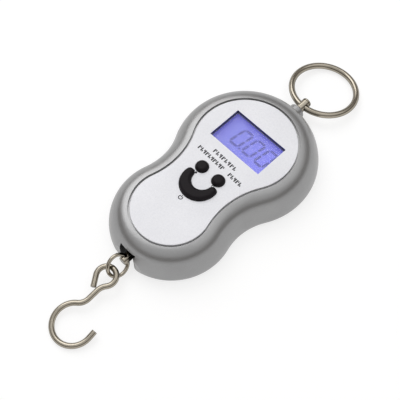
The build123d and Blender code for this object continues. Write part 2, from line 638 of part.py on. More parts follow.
def load_cell():
    """S-shaped aluminium spring block, with bores for the hook shaft and the yoke's pins."""
    half = CELL_WIDTH / 2
    z = (CELL_BOTTOM, CELL_BOTTOM + CELL_THICKNESS)
    cell = wide_block(half, (CELL_LOWER_Y, CELL_TOP_Y), z)
    nut_y = CELL_LOWER_Y + CELL_END_WALL
    window_y = (nut_y, nut_y + SHAFT_NUT_THICKNESS + CELL_WINDOW_SPARE)
    cell -= wide_block(SHAFT_NUT_RADIUS + 5 * GAP, window_y, (0, BODY_HEIGHT))
    cell -= rod_y(SHAFT_STUD_RADIUS + RUNNING_GAP, (CELL_LOWER_Y - 1, nut_y + 1))
    upper_slot = CELL_TOP_Y - CELL_UPPER_SLOT
    lower_slot = CELL_LOWER_Y + CELL_LOWER_SLOT
    cell -= block((-half / 2, half + 1), (upper_slot - CELL_SLOT, upper_slot), (0, BODY_HEIGHT))
    cell -= block((-half - 1, half / 2), (lower_slot, lower_slot + CELL_SLOT), (0, BODY_HEIGHT))
    for y in (UPPER_BORE_Y, LOWER_BORE_Y):
        cell -= rod_z(CELL_BORE_RADIUS, (0, y), (0, BODY_HEIGHT))
    for y in CELL_PIN_PLACES:
        cell -= rod_x(CELL_PIN_RADIUS + SCREW_GAP, (-half - 1, half + 1), y, LOAD_AXIS_HEIGHT)
    return cell


def strain_gauges():
    """Two foil gauges on the load cell, over its bending ribs."""
    top = CELL_BOTTOM + CELL_THICKNESS
    gauges = []
    for y in (UPPER_BORE_Y, LOWER_BORE_Y):
        gauge_y = (y - GAUGE_HALF_LENGTH, y + GAUGE_HALF_LENGTH)
        gauges.append(block(GAUGE_X, gauge_y, (top, top + GAUGE_THICKNESS)))
    return Compound(children=gauges)


def load_yoke():
    """U-shaped steel yoke from the ring post to the load cell."""
    z = (LOAD_AXIS_HEIGHT - YOKE_HEIGHT / 2, LOAD_AXIS_HEIGHT + YOKE_HEIGHT / 2)
    arm_end = CELL_PIN_PLACES[-1] - YOKE_ARM_END
    yoke = wide_block(YOKE_OUTER, (arm_end, YOKE_PLATE_OUTER_Y), z)
    yoke = fillet(yoke.edges().filter_by(Axis.Z).sort_by(Axis.Y)[-2:], YOKE_CORNER_RADIUS)
    yoke -= wide_block(YOKE_INNER, (arm_end - 1, YOKE_PLATE_INNER_Y), (0, BODY_HEIGHT))
    yoke -= rod_y(POST_STUD_RADIUS + RUNNING_GAP, (0, RING_END_Y))
    for y in CELL_PIN_PLACES:
        yoke -= rod_x(CELL_PIN_RADIUS + SCREW_GAP, (-YOKE_OUTER - 1, YOKE_OUTER + 1), y, LOAD_AXIS_HEIGHT)
    return yoke


def cell_pins():
    """Cross pins that hold the load cell in the yoke."""
    return Compound(
        children=[
            rod_x(CELL_PIN_RADIUS, (-YOKE_OUTER, YOKE_OUTER), y, LOAD_AXIS_HEIGHT) for y in CELL_PIN_PLACES
        ]
    )


def sensor_lead():
    """Lead from the load cell's gauges to the board."""
    run = CELL_BOTTOM + CELL_THICKNESS + LEAD_RADIUS + 1.5 * GAP
    start_y = CELL_PIN_PLACES[-1] - LEAD_RADIUS
    end_z = BOARD_BOTTOM - LEAD_RADIUS - GAP
    points = ((0, start_y, run), (0, LEAD_TURN_Y, run), (0, LEAD_END_Y, end_z))
    path = FilletPolyline(*points, radius=LEAD_BEND_RADIUS)
    start = path.edges()[0]
    return sweep(Plane(origin=start @ 0, z_dir=start % 0) * Circle(LEAD_RADIUS), path=path)


def hex_nut(radius, bore, y):
    """Hexagon nut on a Y axis, with its corners on a circle."""
    nut = Pos(0, y[1], LOAD_AXIS_HEIGHT) * Rot(90, 0, 0) * extrude(RegularPolygon(radius, 6), y[1] - y[0])
    return nut - rod_y(bore, (y[0] - 1, y[1] + 1))


def ring_post():
    """Swivelling post with a cross hole for the pull ring, a domed tip and a thinner stud inside."""
    shoulder = YOKE_PLATE_OUTER_Y + GAP
    post = rod_y(POST_RADIUS, (shoulder, POST_TIP_Y))
    post = fillet(post.faces().sort_by(Axis.Y)[-1].edges(), POST_TIP_ROUND)
    post += rod_y(POST_STUD_RADIUS, (post_nut_y()[0] - 1.0, shoulder))
    groove_y = (POST_TIP_Y - POST_GROOVE_REACH, POST_TIP_Y - POST_GROOVE_REACH + POST_GROOVE_WIDTH)
    post -= rod_y(POST_RADIUS + 1, groove_y) - rod_y(POST_RADIUS - POST_GROOVE_DEPTH, groove_y)
    hole = rod_x(RING_HOLE_RADIUS, (-POST_RADIUS - 1, POST_RADIUS + 1), POST_HOLE_Y, LOAD_AXIS_HEIGHT)
    return post - hole


def post_nut_y():
    """Y range of the post's nut, behind its washer."""
    upper = YOKE_PLATE_INNER_Y - GAP - WASHER_THICKNESS - GAP / 2
    return (upper - NUT_THICKNESS, upper)


def post_washer():
    """Low-friction washer between the nut and the yoke."""
    upper = YOKE_PLATE_INNER_Y - GAP / 2
    y = (upper - WASHER_THICKNESS, upper)
    return rod_y(NUT_RADIUS, y) - rod_y(POST_STUD_RADIUS + RUNNING_GAP, (y[0] - 1, y[1] + 1))


def shaft_nut_y():
    """Y range of the hook shaft's nut, inside the load cell's window."""
    lower = CELL_LOWER_Y + CELL_END_WALL + GAP
    return (lower, lower + SHAFT_NUT_THICKNESS)


def hook_shaft():
    """Swivelling shaft with a cross hole for the link ring and a thinner stud in the load cell."""
    shoulder = CELL_LOWER_Y - GAP
    shaft = rod_y(SHAFT_RADIUS, (SHAFT_TIP_Y, shoulder))
    shaft = fillet(shaft.faces().sort_by(Axis.Y)[0].edges(), SHAFT_TIP_ROUND)
    shaft += rod_y(SHAFT_STUD_RADIUS, (shoulder, shaft_nut_y()[1] + 1.0))
    hole = rod_x(LINK_HOLE_RADIUS, (-SHAFT_RADIUS - 1, SHAFT_RADIUS + 1), 0, 0)
    return shaft - Pos(0, SHAFT_HOLE_Y, LOAD_AXIS_HEIGHT) * Rot(0, LINK_TWIST, 0) * hole


def pull_ring():
    """Round wire ring through the post's hole, drooping until it rests on the table."""
    ring = Pos(0, RING_RADIUS, 0) * Torus(RING_RADIUS, RING_WIRE_RADIUS)
    return Pos(0, POST_HOLE_Y, LOAD_AXIS_HEIGHT) * Rot(-RING_DROOP, 0, 0) * ring


def link_ring():
    """Small wire ring between the shaft and the hook's eye, turned about the load axis."""
    ring = Pos(0, -LINK_RADIUS, 0) * Torus(LINK_RADIUS, LINK_WIRE_RADIUS)
    return Pos(0, SHAFT_HOLE_Y, LOAD_AXIS_HEIGHT) * Rot(0, LINK_TWIST, 0) * ring


def hook_path():
    """Centre line of the hook in its own plane, with the eye's near point at the origin and the bowl down."""
    eye = (0, -EYE_RADIUS)
    tail_start = polar(eye, EYE_RADIUS, EYE_TAIL_ANGLE)
    tail_heading = EYE_TAIL_ANGLE + 90
    tail_end = polar(tail_start, EYE_TAIL_LENGTH, tail_heading)
    exit_point = polar(eye, EYE_RADIUS, -EYE_EXIT_ANGLE)
    bend_radius = (exit_point[0] - SHANK_OFFSET) / (1 - cos(radians(EYE_EXIT_ANGLE)))
    bend_centre = (SHANK_OFFSET + bend_radius, exit_point[1] - bend_radius * sin(radians(EYE_EXIT_ANGLE)))
    bowl = (BOWL_OFFSET_X, -EYE_RADIUS - BOWL_DROP)
    bend_x = SHANK_OFFSET - SHANK_BEND_RADIUS
    reach = SHANK_BEND_RADIUS + BOWL_RADIUS
    turn = degrees(acos((bowl[0] - bend_x) / reach))
    lower_bend = (bend_x, bowl[1] + reach * sin(radians(turn)))
    tip_start = polar(bowl, BOWL_RADIUS, TIP_ANGLE)
    tip_end = polar(tip_start, TIP_LENGTH, 90 + TIP_ANGLE)
    return Wire(
        [
            Line(tail_end, tail_start),
            CenterArc(eye, EYE_RADIUS, EYE_TAIL_ANGLE, -EYE_TAIL_ANGLE - EYE_EXIT_ANGLE),
            CenterArc(bend_centre, bend_radius, 180 - EYE_EXIT_ANGLE, EYE_EXIT_ANGLE),
            Line((SHANK_OFFSET, bend_centre[1]), (SHANK_OFFSET, lower_bend[1])),
            CenterArc(lower_bend, SHANK_BEND_RADIUS, 0, -turn),
            CenterArc(bowl, BOWL_RADIUS, 180 - turn, 180 + turn + TIP_ANGLE),
            Line(tip_start, tip_end),
        ]
    )


def hook():
    """Bent wire hook, its eye held up by the link ring and its bowl resting on the table."""
    path = hook_path()
    start = path.edges()[0]
    bar = sweep(Plane(origin=start @ 0, z_dir=start % 0) * Circle(HOOK_WIRE_RADIUS), path=path)
    bar = fillet([end.edges() for end in bar.faces().filter_by(GeomType.PLANE)][0], HOOK_END_ROUND)
    drop = BOWL_DROP + EYE_RADIUS + BOWL_RADIUS
    tilt = degrees(atan2(LOAD_AXIS_HEIGHT - HOOK_WIRE_RADIUS, drop))
    return Pos(0, EYE_NEAR_Y, LOAD_AXIS_HEIGHT) * Rot(tilt, 0, 0) * bar


def battery(side):
    """AAA cell: a round can with a raised contact at one end, its spring at the other."""
    low = BAY_LOWER_Y + CONTACT_THICKNESS + GAP
    if side < 0:
        low += SPRING_LENGTH + GAP
    y = (low, low + BATTERY_LENGTH - BATTERY_NUB_LENGTH)
    nub = (y[1], y[1] + BATTERY_NUB_LENGTH)
    if side > 0:
        y = (low + BATTERY_NUB_LENGTH, low + BATTERY_LENGTH)
        nub = (low, y[0])
    can = rod_y(CELL_RADIUS, y, side * BATTERY_X, BATTERY_HEIGHT)
    can = fillet(can.edges().filter_by(GeomType.CIRCLE), BATTERY_EDGE_ROUND)
    return can + rod_y(BATTERY_NUB_RADIUS, nub, side * BATTERY_X, BATTERY_HEIGHT)


def contact_plates():
    """Sheet contacts at both ends of both bays."""
    plates = []
    for side in (-1, 1):
        x = tuple(sorted((side * (BAY_INNER_X + GAP), side * (BAY_OUTER_X - GAP))))
        for y in (BAY_LOWER_Y, BAY_UPPER_Y - CONTACT_THICKNESS):
            plates.append(block(x, (y, y + CONTACT_THICKNESS), (DOOR_RECESS + 3 * GAP, BAY_TOP + 1.0)))
    return Compound(children=plates)


def contact_springs():
    """Tapered coil springs that press on the batteries' flat ends."""
    springs = []
    for side in (-1, 1):
        y = BAY_LOWER_Y + CONTACT_THICKNESS if side < 0 else BAY_UPPER_Y - CONTACT_THICKNESS
        free = SPRING_LENGTH - 2 * SPRING_WIRE_RADIUS
        coil = Helix(free / SPRING_TURNS, free, SPRING_RADIUS, cone_angle=-SPRING_TAPER)
        wire = sweep(Plane(origin=coil @ 0, z_dir=coil % 0) * Circle(SPRING_WIRE_RADIUS), path=coil)
        seat = Pos(side * BATTERY_X, y - side * SPRING_WIRE_RADIUS, BATTERY_HEIGHT)
        springs.append(seat * Rot(side * 90, 0, 0) * wire)
    return Compound(children=springs)


def battery_door():
    """Flush door that tilts down about its upper edge, with an inner tab, a finger cut and grip ribs."""
    door = slab(door_face(), 0, DOOR_THICKNESS)
    high = BAY_UPPER_Y + DOOR_MARGIN
    tab_z = (WALL + 1.5 * GAP, WALL + 1.5 * GAP + DOOR_TAB_THICKNESS)
    door += wide_block(DOOR_TAB_HALF_WIDTH, (high - DOOR_TAB_LENGTH, high), (DOOR_THICKNESS, tab_z[1]))
    door += wide_block(DOOR_TAB_HALF_WIDTH, (high - GAP, high + DOOR_TAB_LENGTH), tab_z)
    low = BAY_LOWER_Y - DOOR_MARGIN
    for rib in range(DOOR_GRIP_RIBS):
        y = low + RIB_START + RIB_PITCH * rib
        door -= wide_block(RIB_HALF_LENGTH, (y, y + RIB_WIDTH), (-RIB_DEPTH, RIB_DEPTH))
    door -= rod_z(FINGER_CUT_RADIUS, (0, low), (-FINGER_CUT_DEPTH, FINGER_CUT_DEPTH))
    return door


def case_screws():
    """Four screws from the back into the front shell's bosses."""
    screws = []
    for place in CASE_SCREW_PLACES:
        head = rod_z(CASE_HEAD_RADIUS, place, (CASE_SEAT_HEIGHT - CASE_HEAD_HEIGHT, CASE_SEAT_HEIGHT))
        depth = 2 * CROSS_DEPTH
        cross = Box(CROSS_LENGTH, CROSS_WIDTH, depth) + Box(CROSS_WIDTH, CROSS_LENGTH, depth)
        head -= Pos(*place, CASE_SEAT_HEIGHT - CASE_HEAD_HEIGHT) * cross
        screws.append(head + rod_z(CASE_SCREW_RADIUS, place, (CASE_SEAT_HEIGHT, BOARD_TOP - 2 * GAP)))
    return Compound(children=screws)


def board_screws():
    """Screws that hold the board to the front shell."""
    screws = []
    for place in BOARD_SCREW_PLACES:
        head = rod_z(BOARD_HEAD_RADIUS, place, (BOARD_BOTTOM - BOARD_HEAD_HEIGHT, BOARD_BOTTOM))
        screws.append(head + rod_z(BOARD_SCREW_RADIUS, place, (BOARD_BOTTOM, CEILING - 2 * GAP)))
    return Compound(children=screws)


def build():
    """Every piece by its node name."""
    wall = housing_wall()
    return {
        "front_shell": front_shell(wall),
        "back_shell": back_shell(wall),
        "slot_liner": slot_liner(),
        "faceplate": faceplate(),
        "display_lens": display_lens(),
        "lcd_glass": lcd_glass(),
        "lcd_frame": lcd_frame(),
        "backlight": backlight(),
        "backlight_lamp": backlight_lamp(),
        "zebra_strip": zebra_strip(),
        "main_board": main_board(),
        "board_chips": board_chips(),
        "key_switches": key_switches(),
        "left_key": round_key(KEY_PLACES[0]),
        "right_key": round_key(KEY_PLACES[1]),
        "smile_key": smile_key(),
        "load_cell": load_cell(),
        "strain_gauges": strain_gauges(),
        "load_yoke": load_yoke(),
        "cell_pins": cell_pins(),
        "sensor_lead": sensor_lead(),
        "ring_post": ring_post(),
        "post_nut": hex_nut(NUT_RADIUS, POST_STUD_RADIUS, post_nut_y()),
        "post_washer": post_washer(),
        "pull_ring": pull_ring(),
        "hook_shaft": hook_shaft(),
        "shaft_nut": hex_nut(SHAFT_NUT_RADIUS, SHAFT_STUD_RADIUS, shaft_nut_y()),
        "link_ring": link_ring(),
        "hook": hook(),
        "battery_left": battery(-1),
        "battery_right": battery(1),
        "contact_plates": contact_plates(),
        "contact_springs": contact_springs(),
        "battery_door": battery_door(),
        "case_screws": case_screws(),
        "board_screws": board_screws(),
    }


os.makedirs("parts", exist_ok=True)
for name, piece in build().items():
    export_step(piece, f"parts/{name}.step")
print("joint centres (mm)")
print("ring hinge", (0, POST_HOLE_Y, LOAD_AXIS_HEIGHT), "droop", round(RING_DROOP, 2))
print("link hinge", (0, SHAFT_HOLE_Y, LOAD_AXIS_HEIGHT))
print("hook hinge", (0, LINK_FAR_Y, LOAD_AXIS_HEIGHT))
print("door hinge", (0, BAY_UPPER_Y + DOOR_MARGIN, 0))
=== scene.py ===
# Looks for the digital luggage scale: camera, soft studio, materials, printed marks and display digits.
# Lengths are in metres in the part's own frame: +X across the display, +Y towards the pull ring, +Z up.

import json
from math import cos, radians, sin

import bmesh
import bpy
from mathutils import Matrix, Vector


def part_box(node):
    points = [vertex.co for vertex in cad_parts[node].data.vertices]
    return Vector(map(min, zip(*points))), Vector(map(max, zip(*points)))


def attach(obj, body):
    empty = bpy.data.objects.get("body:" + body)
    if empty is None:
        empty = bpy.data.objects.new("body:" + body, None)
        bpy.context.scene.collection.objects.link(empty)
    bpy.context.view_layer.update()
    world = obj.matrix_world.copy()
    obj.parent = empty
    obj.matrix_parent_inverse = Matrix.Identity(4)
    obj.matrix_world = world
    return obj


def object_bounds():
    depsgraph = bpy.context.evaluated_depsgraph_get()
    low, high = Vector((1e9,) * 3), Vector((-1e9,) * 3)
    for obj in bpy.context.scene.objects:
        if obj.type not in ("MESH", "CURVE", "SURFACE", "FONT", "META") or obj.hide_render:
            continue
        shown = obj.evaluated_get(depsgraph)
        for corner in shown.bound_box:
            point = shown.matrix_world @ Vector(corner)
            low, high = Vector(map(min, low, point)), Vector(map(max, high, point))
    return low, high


MM = 0.001

CAMERA_AZIMUTH = 47.375
CAMERA_ELEVATION = 61.899
CAMERA_ROLL = -1.803
CAMERA_FIELD = 24.173
CAMERA_DISTANCE = 441.07 * MM
CAMERA_TARGET = Vector((-0.61, -8.43, 0)) * MM

INK_HEIGHT = 0.02 * MM
PLATE_EDGE = 0.25 * MM
# Dark navy painted on the display window's walls: painted shade of the window recess.
WELL_SHADE_BLUE = (0.02, 0.015, 0.16)
PRINT_ROWS = (
    # (centre x, centre y, pitch of the marks, marks before each gap)
    (-0.5, 7.8, 1.86, (8,)),
    (0.0, 3.95, 1.69, (10, 5)),
)
STROKES = (
    # (x, y, width, height) of each stroke of a mark, in three plain forms
    ((-0.36, 0.0, 0.66, 2.1), (0.44, 0.55, 0.52, 0.9)),
    ((-0.30, 0.0, 0.60, 2.1), (0.46, -0.55, 0.52, 0.9)),
    ((-0.44, 0.45, 0.50, 1.1), (0.28, 0.0, 0.66, 2.1)),
)
PRINT_TURN = -2.2
PRINT_GAP = 2

# Marks by the keys, in millimetres: each centre, then the radius and line width of its printed ring.
DOTS_CENTRE = (-5.8, -6.25)
DOTS_SPREAD = 0.75
DOT_RING = (0.3, 0.5)
ARC_CENTRE = (5.6, -6.15)
ARC_RING = (0.62, 0.36)
ARC_SWEEP = (-60, 210)
POWER_CENTRE = (-0.7, -20.2)
POWER_RING = (0.95, 0.42)
POWER_SWEEP = (125, 415)
POWER_BAR = (0.42, 1.2)
POWER_BAR_RISE = 0.75

ROOM_STOPS = (
    # (height of the ray, from 0 at the horizon to 1 overhead; colour)
    (0.0, (1.0, 1.0, 1.0)),
    (0.22, (1.0, 1.0, 1.0)),
    (0.32, (0.16, 0.145, 0.13)),
    (0.60, (0.28, 0.26, 0.245)),
    (0.78, (0.80, 0.80, 0.80)),
    (1.0, (0.90, 0.90, 0.90)),
)
DIGIT_HEIGHT = 9.6 * MM
DIGIT_WIDTH = 5.1 * MM
DIGIT_PITCH = 7.9 * MM
DIGIT_SLANT = 0.16
SEGMENT_WIDTH = 1.25 * MM
SEGMENT_GAP = 0.2 * MM
DIGIT_OFFSET = -4.5 * MM
DIGIT_LIFT = 0.55 * MM
DIGIT_COUNT = 3
POINT_SIZE = 1.1 * MM

FLOOR_SIZE = 6.0
FLOOR_ALBEDO = 0.86
FLOOR_LIFT = 0.6
FLOOR_GLOW = 1.2

# Softboxes: place, size of each side and power in watts. Each is aimed at the part.
KEY_PLACE = (-0.75, 0.25, 0.95)
KEY_SIZE = (0.9, 0.9)
KEY_POWER = 5.0
FILL_PLACE = (0.1, 0.5, 1.1)
FILL_SIZE = (0.8, 0.8)
FILL_POWER = 0.8

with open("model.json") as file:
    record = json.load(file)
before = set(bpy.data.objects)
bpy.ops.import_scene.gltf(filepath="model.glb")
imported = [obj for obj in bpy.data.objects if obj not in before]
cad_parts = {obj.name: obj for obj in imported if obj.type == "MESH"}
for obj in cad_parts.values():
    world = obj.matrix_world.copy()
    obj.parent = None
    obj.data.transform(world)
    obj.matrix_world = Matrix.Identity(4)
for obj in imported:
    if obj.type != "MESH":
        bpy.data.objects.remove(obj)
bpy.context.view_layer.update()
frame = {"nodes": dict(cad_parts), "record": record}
nodes = frame["nodes"]


# ---------------------------------------------------------------- materials


class Shading:
    """A new material and short ways to add nodes to it."""

    def __init__(self, name):
        self.material = bpy.data.materials.new(name)
        self.material.use_nodes = True
        self.tree = self.material.node_tree
        self.surface = self.tree.nodes["Principled BSDF"]
        self.output = self.tree.nodes["Material Output"]
        self.place = self.add("ShaderNodeTexCoord").outputs["Object"]

    def add(self, kind, **inputs):
        node = self.tree.nodes.new(kind)
        for key, value in inputs.items():
            self.put(node, key.replace("_", " "), value)
        return node

    def put(self, node, socket, value):
        if isinstance(value, bpy.types.NodeSocket):
            self.tree.links.new(value, node.inputs[socket])
        else:
            node.inputs[socket].default_value = value

    def set(self, **values):
        for key, value in values.items():
            self.put(self.surface, key.replace("_", " "), value)

    def noise(self, scale, detail=3.0, stretch=(1, 1, 1)):
        """Grey noise from 0 to 1, with scale in features per metre."""
        place = self.add("ShaderNodeMapping", Vector=self.place, Scale=stretch).outputs["Vector"]
        return self.add("ShaderNodeTexNoise", Vector=place, Scale=scale, Detail=detail).outputs["Fac"]

    def ramp(self, factor, *stops):
        """Colour ramp through (position, colour) stops."""
        node = self.add("ShaderNodeValToRGB", Fac=factor)
        elements = node.color_ramp.elements
        for index, (position, colour) in enumerate(stops):
            element = elements[index] if index < 2 else elements.new(position)
            element.position = position
            element.color = (*colour, 1)
        return node.outputs["Color"]

    def range(self, factor, low, high):
        """Grey factor spread between two numbers."""
        return self.add(
            "ShaderNodeMapRange", Value=factor, From_Min=0.3, From_Max=0.7, To_Min=low, To_Max=high
        ).outputs["Result"]

    def axis(self, name, low, high):
        """0 to 1 along one axis of the part's frame, between two places."""
        along = self.add("ShaderNodeSeparateXYZ", Vector=self.place).outputs[name]
        return self.add("ShaderNodeMapRange", Value=along, From_Min=low, From_Max=high).outputs["Result"]

    def math(self, operation, first, second):
        node = self.add("ShaderNodeMath")
        node.operation = operation
        self.put(node, 0, first)
        self.put(node, 1, second)
        return node.outputs[0]

    def blend(self, factor, first, second):
        """Mix of two colours."""
        node = self.add("ShaderNodeMix")
        node.data_type = "RGBA"
        self.put(node, 0, factor)
        self.put(node, 6, first if isinstance(first, bpy.types.NodeSocket) else (*first, 1))
        self.put(node, 7, second if isinstance(second, bpy.types.NodeSocket) else (*second, 1))
        return node.outputs[2]

    def within(self, low, high):
        """1 inside a box of the part's frame, and 0 outside."""
        place = self.add("ShaderNodeSeparateXYZ", Vector=self.place)
        inside = 1.0
        for index, name in enumerate("XYZ"):
            above = self.math("GREATER_THAN", place.outputs[name], low[index])
            below = self.math("LESS_THAN", place.outputs[name], high[index])
            inside = self.math("MULTIPLY", inside, self.math("MULTIPLY", above, below))
        return inside

    def bump(self, height, distance):
        """Relief from a grey height, with its full depth in metres."""
        node = self.add("ShaderNodeBump", Height=height, Distance=distance, Strength=1.0)
        self.put(self.surface, "Normal", node.outputs["Normal"])


def tinted(colour, factor):
    """Colour made lighter or darker."""
    return tuple(min(1.0, channel * factor) for channel in colour)


def moulded(name, colour, roughness, variation=0.06, gloss=0.5):
    """Moulded or coated surface with faint mottling, uneven sheen and fine grain."""
    shading = Shading(name)
    cloud = shading.noise(120.0, 4.0)
    fine = shading.noise(2500.0, 2.0)
    low, high = tinted(colour, 1 - variation), tinted(colour, 1 + variation)
    shading.set(
        Base_Color=shading.ramp(cloud, (0.3, low), (0.7, high)),
        Roughness=shading.range(fine, roughness - 0.05, roughness + 0.06),
        Specular_IOR_Level=gloss,
    )
    shading.bump(fine, 0.01 * MM)
    return shading.material


def window_well_shade(shading, coat):
    """A coat that turns dark blue on the walls of the display window: painted shade standing in for the
    shadow in the window recess.
    """
    low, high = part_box("display_lens")
    edge = 0.7 * MM
    box_low = (low.x + edge, low.y + edge, 0)
    box_high = (high.x - edge, high.y - edge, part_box("faceplate")[1].z - PLATE_EDGE)
    return shading.blend(shading.within(box_low, box_high), coat, WELL_SHADE_BLUE)


def silver_paint():
    """Satin silver paint: fine metal flakes over a slightly uneven grey coat."""
    shading = Shading("silver_paint")
    flakes = shading.noise(5200.0, 1.0)
    cloud = shading.noise(70.0, 3.0)
    coat = shading.ramp(cloud, (0.3, (0.28, 0.28, 0.282)), (0.7, (0.315, 0.315, 0.317)))
    flaked = shading.blend(shading.range(flakes, 0.0, 0.4), coat, (0.42, 0.42, 0.424))
    shading.set(
        # The walls of the display window take the painted shade of the recess.
        Base_Color=window_well_shade(shading, flaked),
        Metallic=0.75,
        Roughness=shading.range(flakes, 0.28, 0.38),
    )
    shading.bump(shading.math("ADD", flakes, shading.noise(900.0, 2.0)), 0.006 * MM)
    return shading.material


def plate_silver():
    """Pale silver face with a very fine sparkle texture."""
    shading = Shading("plate_silver")
    sparkle = shading.noise(4200.0, 2.0)
    weave = shading.noise(1500.0, 3.0)
    cloud = shading.noise(45.0, 2.0)
    base = shading.ramp(cloud, (0.3, (0.74, 0.745, 0.78)), (0.7, (0.80, 0.805, 0.84)))
    specks = shading.noise(1100.0, 2.0)
    base = shading.blend(shading.range(specks, 0.0, 0.22), base, (0.55, 0.56, 0.60))
    sparkling = shading.blend(shading.range(sparkle, 0.0, 0.4), base, (0.95, 0.95, 0.98))
    shading.set(
        # The walls of the display window take the painted shade of the recess.
        Base_Color=window_well_shade(shading, sparkling),
        Metallic=0.15,
        Roughness=shading.range(weave, 0.36, 0.5),
    )
    shading.bump(shading.math("ADD", sparkle, weave), 0.008 * MM)
    return shading.material


def key_black():
    """Soft near-black key plastic with a low, slightly uneven sheen."""
    shading = Shading("key_black")
    fine = shading.noise(3000.0, 3.0)
    smear = shading.noise(350.0, 3.0)
    shading.set(
        Base_Color=shading.ramp(smear, (0.3, (0.009, 0.007, 0.009)), (0.75, (0.016, 0.013, 0.015))),
        Roughness=shading.range(smear, 0.34, 0.48),
        Specular_IOR_Level=0.1,
    )
    shading.bump(fine, 0.008 * MM)
    return shading.material


def nickel(name, colour, roughness):
    """Warm nickel plating with fine drawing lines and faint cloudy tarnish, with painted dark reflection
    where the surface turns away from the view.
    """
    shading = Shading(name)
    lines = shading.noise(1800.0, 4.0, (1.0, 0.25, 1.0))
    cloud = shading.noise(160.0, 4.0)
    plating = shading.ramp(cloud, (0.3, tinted(colour, 0.88)), (0.7, tinted(colour, 1.08)))
    # Painted dark reflection: the colour falls towards near black as the surface turns away from the
    # view, as on the wires' dark flanks.
    slope = shading.add("ShaderNodeLayerWeight", Blend=0.35).outputs["Facing"]
    edge = shading.ramp(slope, (0.25, (0, 0, 0)), (0.8, (1, 1, 1)))
    shading.set(
        Base_Color=shading.blend(edge, plating, tinted(colour, 0.15)),
        Metallic=1.0,
        Roughness=shading.range(lines, roughness - 0.05, roughness + 0.07),
    )
    shading.bump(lines, 0.004 * MM)
    return shading.material


def milled(name, colour, roughness):
    """Bare metal with cutter marks across it."""
    shading = Shading(name)
    marks = shading.noise(900.0, 3.0, (0.15, 3.0, 1.0))
    shading.set(
        Base_Color=shading.ramp(marks, (0.3, tinted(colour, 0.9)), (0.7, tinted(colour, 1.06))),
        Metallic=1.0,
        Roughness=shading.range(marks, roughness - 0.06, roughness + 0.08),
    )
    shading.bump(marks, 0.006 * MM)
    return shading.material


def lcd_blue():
    """Backlit blue-violet glass, darker towards -X, with painted shade of the window recess along its
    upper and -X edges.
    """
    low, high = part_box("display_lens")
    shading = Shading("lcd")
    across = shading.axis("X", low.x, high.x)
    up = shading.axis("Y", low.y, high.y)
    cloud = shading.noise(220.0, 2.0)
    body = shading.blend(across, (0.105, 0.115, 0.60), (0.145, 0.15, 0.80))
    # Painted shade: the window recess's shadow darkens the glass along its upper (+Y) edge.
    edge = shading.ramp(up, (0.72, (0, 0, 0)), (1.0, (1, 1, 1)))
    # Painted shade: the same recess shadow darkens the glass along its -X edge.
    side = shading.ramp(across, (0.0, (1, 1, 1)), (0.2, (0, 0, 0)))
    body = shading.blend(edge, body, (0.04, 0.03, 0.60))
    body = shading.blend(side, body, (0.045, 0.035, 0.58))
    shading.set(
        Base_Color=shading.blend(shading.range(cloud, 0.0, 0.12), body, (0.22, 0.24, 0.66)),
        Emission_Color=body,
        Emission_Strength=0.35,
        Roughness=0.25,
    )
    shading.bump(cloud, 0.002 * MM)
    return shading.material


def clear(name, colour, alpha):
    """Clear polished plastic with faint handling marks in its gloss."""
    shading = Shading(name)
    marks = shading.noise(500.0, 3.0)
    shading.set(
        Base_Color=(*colour, 1),
        Roughness=shading.range(marks, 0.03, 0.09),
        Alpha=alpha,
        IOR=1.49,
    )
    return shading.material


def striped(name, first, second, pitch):
    """Rubber with conducting stripes across X."""
    shading = Shading(name)
    wave = shading.add("ShaderNodeTexWave", Vector=shading.place, Scale=0.2 / pitch, Distortion=0.3)
    grain = shading.noise(3000.0, 2.0)
    shading.set(
        Base_Color=shading.blend(wave.outputs["Fac"], first, second),
        Roughness=shading.range(grain, 0.6, 0.75),
    )
    shading.bump(grain, 0.01 * MM)
    return shading.material


def circuit_green():
    """Board lacquer over copper tracks that show as paler runs."""
    shading = Shading("board")
    tracks = shading.add("ShaderNodeTexBrick", Vector=shading.place, Scale=420.0, Mortar_Size=0.03)
    grain = shading.noise(2500.0, 2.0)
    shading.set(
        Base_Color=shading.blend(tracks.outputs["Fac"], (0.012, 0.12, 0.045), (0.05, 0.26, 0.10)),
        Roughness=shading.range(grain, 0.28, 0.4),
    )
    shading.bump(tracks.outputs["Fac"], 0.02 * MM)
    return shading.material


def battery_wrap():
    """Plain printed cell wrap: a dark body and a pale band near one end."""
    low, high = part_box("battery_left")
    shading = Shading("battery")
    along = shading.axis("Y", low.y, high.y)
    copper = (0.55, 0.42, 0.20)
    band = shading.ramp(along, (0.0, copper), (0.28, copper), (0.29, (0.03, 0.03, 0.035)))
    scuff = shading.noise(900.0, 4.0)
    shading.set(
        Base_Color=shading.blend(shading.range(scuff, 0.0, 0.2), band, (0.30, 0.30, 0.31)),
        Metallic=0.6,
        Roughness=shading.range(scuff, 0.22, 0.4),
    )
    shading.bump(scuff, 0.004 * MM)
    return shading.material


